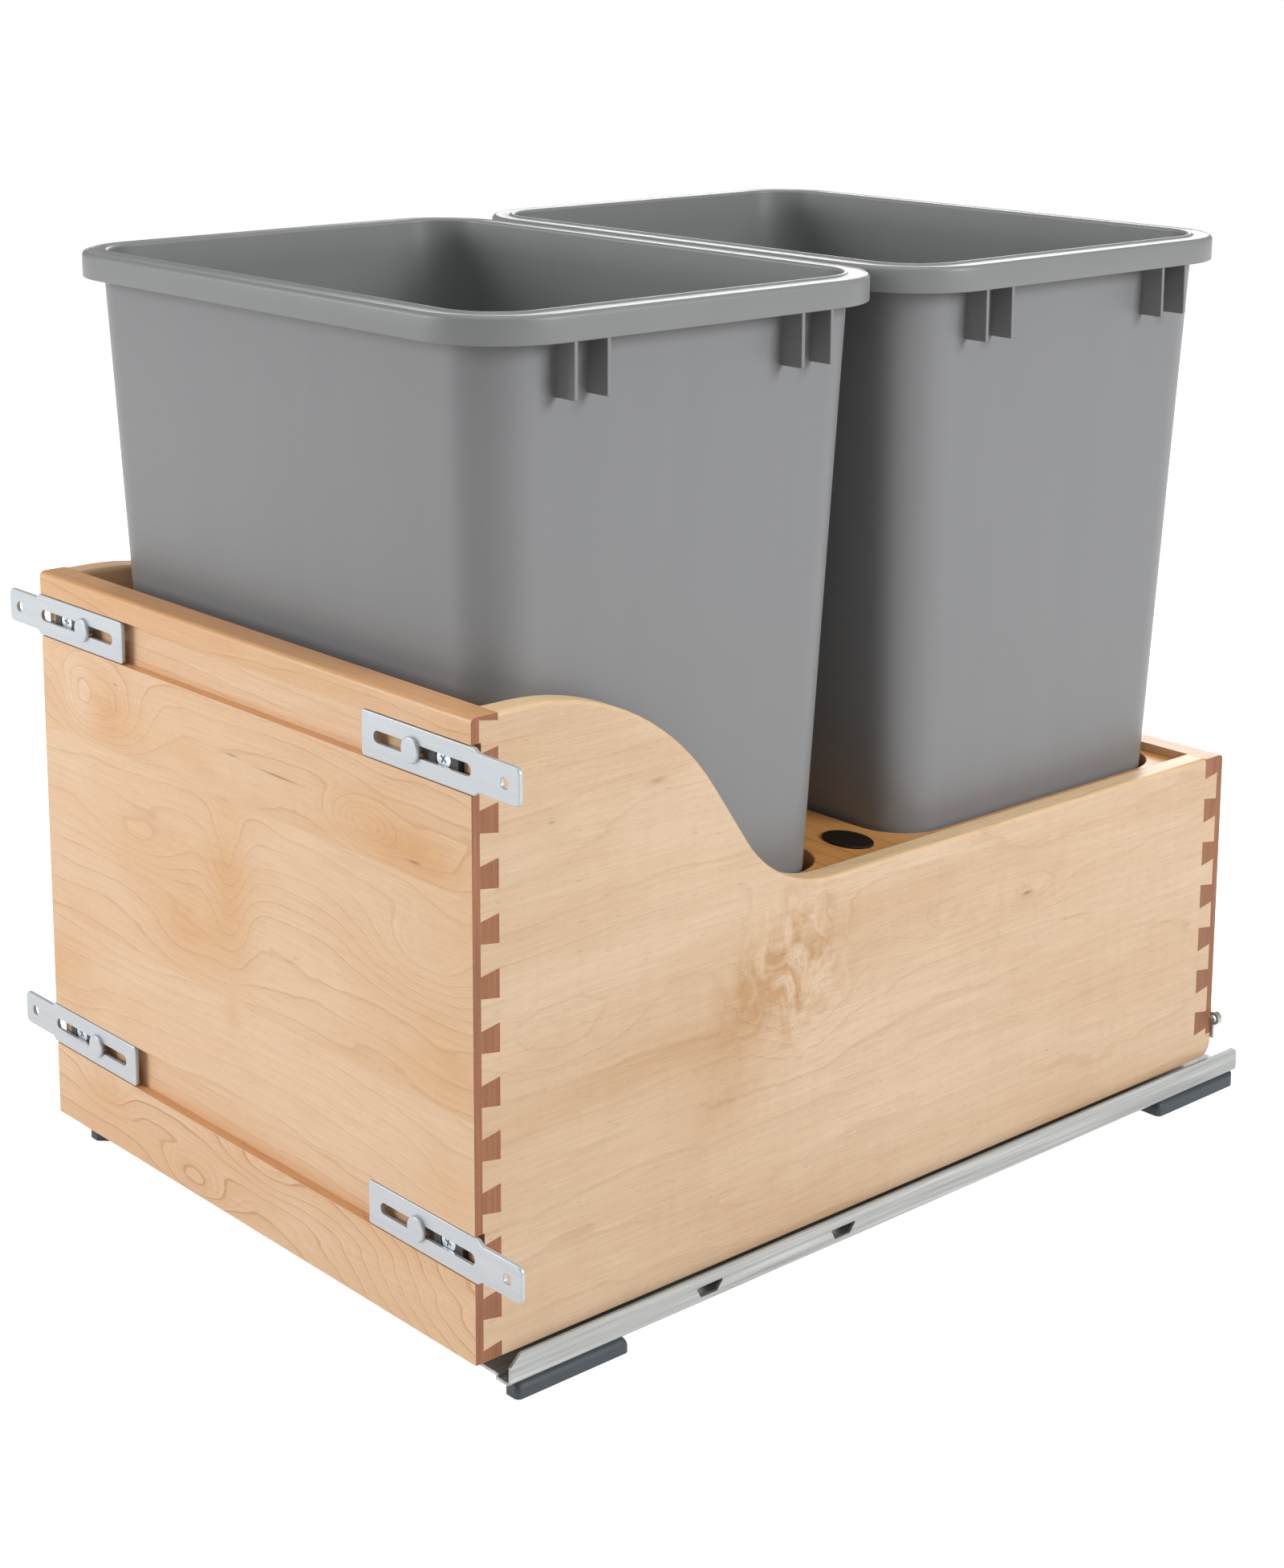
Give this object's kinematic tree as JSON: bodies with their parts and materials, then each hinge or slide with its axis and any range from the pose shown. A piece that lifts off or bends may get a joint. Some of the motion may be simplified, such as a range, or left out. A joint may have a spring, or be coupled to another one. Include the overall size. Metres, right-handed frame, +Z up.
{
  "type": "pull out trash cabinet",
  "caption": "Dovetailed wooden pull-out drawer box on under-mounted slides, carrying two lift-out waste bins and slotted brackets for a cabinet door",
  "frame": {"origin": "on the cabinet floor, under the middle of the bounding box", "axes": "+X to the right seen from the front, +Y back into the cabinet, +Z up"},
  "size_m": [0.43, 0.5572, 0.4948],
  "materials": {
    "maple": "satin lacquer",
    "plywood": "clear lacquer",
    "bronze_plate": "satin",
    "bin_plastic": "matte moulded",
    "zinc_steel": "zinc plated",
    "black_plastic": "matte",
    "screw_steel": "zinc plated",
    "slide_steel": "galvanised",
    "roller_steel": "polished",
    "foot_plastic": "matte moulded",
    "lock_plastic": "matte",
    "lever_plastic": "matte"
  },
  "bodies": {
    "base": {"cabinet_rail_left": "slide_steel", "cabinet_rail_right": "slide_steel", "rail_foot_front_left": "foot_plastic", "rail_foot_front_right": "foot_plastic", "rail_foot_rear_left": "foot_plastic", "rail_foot_rear_right": "foot_plastic", "rail_foot_rivets": "screw_steel"},
    "drawer": {"front_panel": "maple", "back_panel": "maple", "side_panel_left": "maple", "side_panel_right": "maple", "bottom_panel": "plywood", "bin_holder_panel": "plywood", "oval_plate": "bronze_plate", "bracket_shoulder_screws": "zinc_steel", "bracket_clamp_blocks": "black_plastic", "bracket_clamp_screws": "screw_steel", "rear_tab_screws": "screw_steel", "locking_screws": "screw_steel", "drawer_member_left": "slide_steel", "drawer_member_right": "slide_steel", "rear_tab_left": "slide_steel", "rear_tab_right": "slide_steel", "locking_housing_left": "lock_plastic", "locking_housing_right": "lock_plastic"},
    "front_bin": {"bin_front": "bin_plastic"},
    "rear_bin": {"bin_rear": "bin_plastic"},
    "intermediate_left": {"intermediate_member_left": "slide_steel"},
    "lower_cage_left": {"lower_cage_left": "black_plastic", "lower_rollers_left": "roller_steel"},
    "upper_cage_left": {"upper_cage_left": "black_plastic", "upper_rollers_left": "roller_steel"},
    "intermediate_right": {"intermediate_member_right": "slide_steel"},
    "lower_cage_right": {"lower_cage_right": "black_plastic", "lower_rollers_right": "roller_steel"},
    "upper_cage_right": {"upper_cage_right": "black_plastic", "upper_rollers_right": "roller_steel"},
    "upper_left_bracket": {"door_bracket_upper_left": "zinc_steel"},
    "upper_right_bracket": {"door_bracket_upper_right": "zinc_steel"},
    "lower_left_bracket": {"door_bracket_lower_left": "zinc_steel"},
    "lower_right_bracket": {"door_bracket_lower_right": "zinc_steel"},
    "left_lock_lever": {"locking_lever_left": "lever_plastic"},
    "right_lock_lever": {"locking_lever_right": "lever_plastic"}
  },
  "joints": [
    {"name": "drawer_slide", "type": "slide", "parent": "base", "child": "drawer", "axis": [0, -1, 0], "range_m": [0, 0.533]},
    {"name": "intermediate_left_slide", "type": "slide", "parent": "base", "child": "intermediate_left", "axis": [0, -1, 0], "range_m": [0, 0.2665]},
    {"name": "lower_cage_left_slide", "type": "slide", "parent": "base", "child": "lower_cage_left", "axis": [0, -1, 0], "range_m": [0, 0.13325]},
    {"name": "upper_cage_left_slide", "type": "slide", "parent": "base", "child": "upper_cage_left", "axis": [0, -1, 0], "range_m": [0, 0.39975]},
    {"name": "intermediate_right_slide", "type": "slide", "parent": "base", "child": "intermediate_right", "axis": [0, -1, 0], "range_m": [0, 0.2665]},
    {"name": "lower_cage_right_slide", "type": "slide", "parent": "base", "child": "lower_cage_right", "axis": [0, -1, 0], "range_m": [0, 0.13325]},
    {"name": "upper_cage_right_slide", "type": "slide", "parent": "base", "child": "upper_cage_right", "axis": [0, -1, 0], "range_m": [0, 0.39975]},
    {"name": "front_bin_lift", "type": "slide", "parent": "drawer", "child": "front_bin", "axis": [0, 0, 1], "range_m": [0, 0.3]},
    {"name": "rear_bin_lift", "type": "slide", "parent": "drawer", "child": "rear_bin", "axis": [0, 0, 1], "range_m": [0, 0.3]},
    {"name": "upper_left_bracket_adjust", "type": "slide", "parent": "drawer", "child": "upper_left_bracket", "axis": [-1, 0, 0], "range_m": [-0.019, 0.025]},
    {"name": "upper_right_bracket_adjust", "type": "slide", "parent": "drawer", "child": "upper_right_bracket", "axis": [1, 0, 0], "range_m": [-0.019, 0.025]},
    {"name": "lower_left_bracket_adjust", "type": "slide", "parent": "drawer", "child": "lower_left_bracket", "axis": [-1, 0, 0], "range_m": [-0.019, 0.025]},
    {"name": "lower_right_bracket_adjust", "type": "slide", "parent": "drawer", "child": "lower_right_bracket", "axis": [1, 0, 0], "range_m": [-0.019, 0.025]},
    {"name": "left_lock_lever_release", "type": "hinge", "parent": "drawer", "child": "left_lock_lever", "pos_m": [-0.127, -0.2108, 0.0285], "axis": [0, 0, 1], "range_deg": [0, 12], "stiffness_Nm_per_rad": 0.05, "springref_deg": -5.73},
    {"name": "right_lock_lever_release", "type": "hinge", "parent": "drawer", "child": "right_lock_lever", "pos_m": [0.127, -0.2108, 0.0285], "axis": [0, 0, -1], "range_deg": [0, 12], "stiffness_Nm_per_rad": 0.05, "springref_deg": -5.73}
  ],
  "couplings": [
    {"joint": "intermediate_left_slide", "follows": "drawer_slide", "ratio": 0.5},
    {"joint": "lower_cage_left_slide", "follows": "drawer_slide", "ratio": 0.25},
    {"joint": "upper_cage_left_slide", "follows": "drawer_slide", "ratio": 0.75},
    {"joint": "intermediate_right_slide", "follows": "drawer_slide", "ratio": 0.5},
    {"joint": "lower_cage_right_slide", "follows": "drawer_slide", "ratio": 0.25},
    {"joint": "upper_cage_right_slide", "follows": "drawer_slide", "ratio": 0.75}
  ]
}
